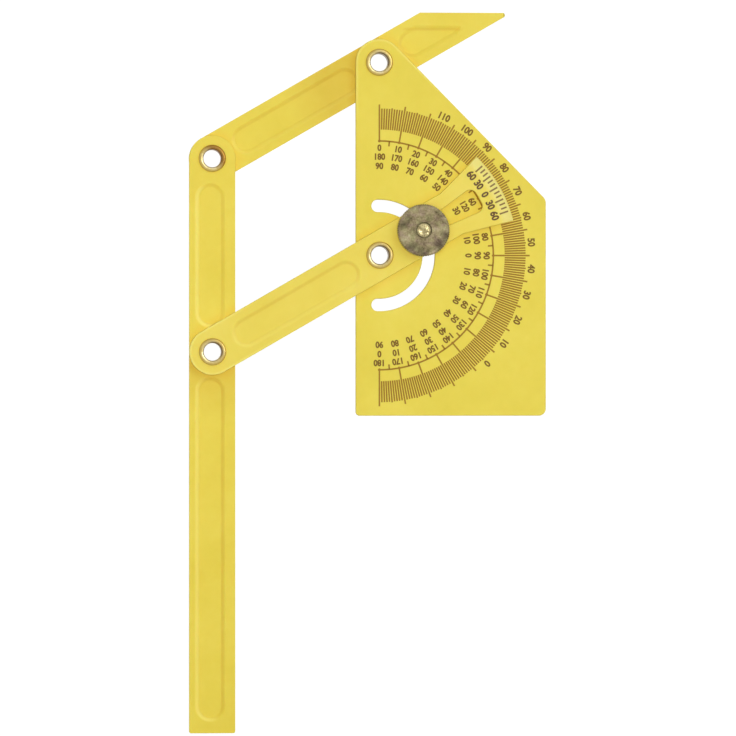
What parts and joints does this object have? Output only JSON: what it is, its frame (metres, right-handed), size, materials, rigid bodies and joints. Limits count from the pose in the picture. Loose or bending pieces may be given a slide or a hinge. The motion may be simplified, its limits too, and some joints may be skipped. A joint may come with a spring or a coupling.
{
  "type": "angle finder with arms",
  "caption": "Flat protractor plate with a rhombus linkage of pivoting arms, a pointer with a reading window and a thumb nut that clamps it in an arc slot.",
  "frame": {"origin": "on the axis of the centre pivot, at the height of the plate's back face", "axes": "+Z out of the printed face, +Y along the plate's left edge towards its top pivot, +X along the scale's zero line"},
  "size_m": [0.15, 0.3024, 0.016],
  "materials": {
    "plate_plastic": "satin moulded yellow plastic with dark printed scales",
    "arm_plastic": "satin moulded yellow plastic",
    "rivet_nickel": "nickel-plated, rolled over",
    "washer_steel": "plain stamped steel",
    "screw_steel": "plain steel with a peened end",
    "nut_metal": "aged, scratched and knurled"
  },
  "bodies": {
    "protractor": {"protractor_plate": "plate_plastic", "eyelet_centre": "rivet_nickel", "eyelet_plate_top": "rivet_nickel", "eyelet_washer_centre": "washer_steel", "eyelet_washer_plate_top": "washer_steel"},
    "pointer": {"pointer_arm": "arm_plastic", "nut_washer": "washer_steel"},
    "upper": {"upper_arm": "arm_plastic"},
    "long": {"long_arm": "arm_plastic", "eyelet_arm_top": "rivet_nickel", "eyelet_arm_middle": "rivet_nickel", "eyelet_washer_arm_top": "washer_steel", "eyelet_washer_arm_middle": "washer_steel"},
    "screw": {"clamp_screw": "screw_steel", "screw_washer": "washer_steel"},
    "nut": {"thumb_nut": "nut_metal"}
  },
  "joints": [
    {"name": "pointer_swing", "type": "hinge", "parent": "protractor", "child": "pointer", "pos_m": [0, 0, 0], "axis": [0, 0, 1], "range_deg": [-105, 45]},
    {"name": "upper_arm_swing", "type": "hinge", "parent": "protractor", "child": "upper", "pos_m": [0, 0.081, 0], "axis": [0, 0, 1], "range_deg": [-105, 45]},
    {"name": "long_arm_swing", "type": "hinge", "parent": "pointer", "child": "long", "pos_m": [-0.07015, -0.0405, 0], "axis": [0, 0, 1], "range_deg": [-45, 105]},
    {"name": "nut_turn", "type": "hinge", "parent": "pointer", "child": "nut", "pos_m": [0.01801, 0.0104, 0], "axis": [0, 0, 1], "range_deg": [0, 450]},
    {"name": "screw_drop", "type": "slide", "parent": "pointer", "child": "screw", "axis": [0, 0, -1], "range_m": [0, 0.00088]}
  ],
  "couplings": [
    {"joint": "upper_arm_swing", "follows": "pointer_swing", "ratio": 1},
    {"joint": "long_arm_swing", "follows": "pointer_swing", "ratio": -1},
    {"joint": "screw_drop", "follows": "nut_turn", "m_per_rad": 0.00011141}
  ]
}
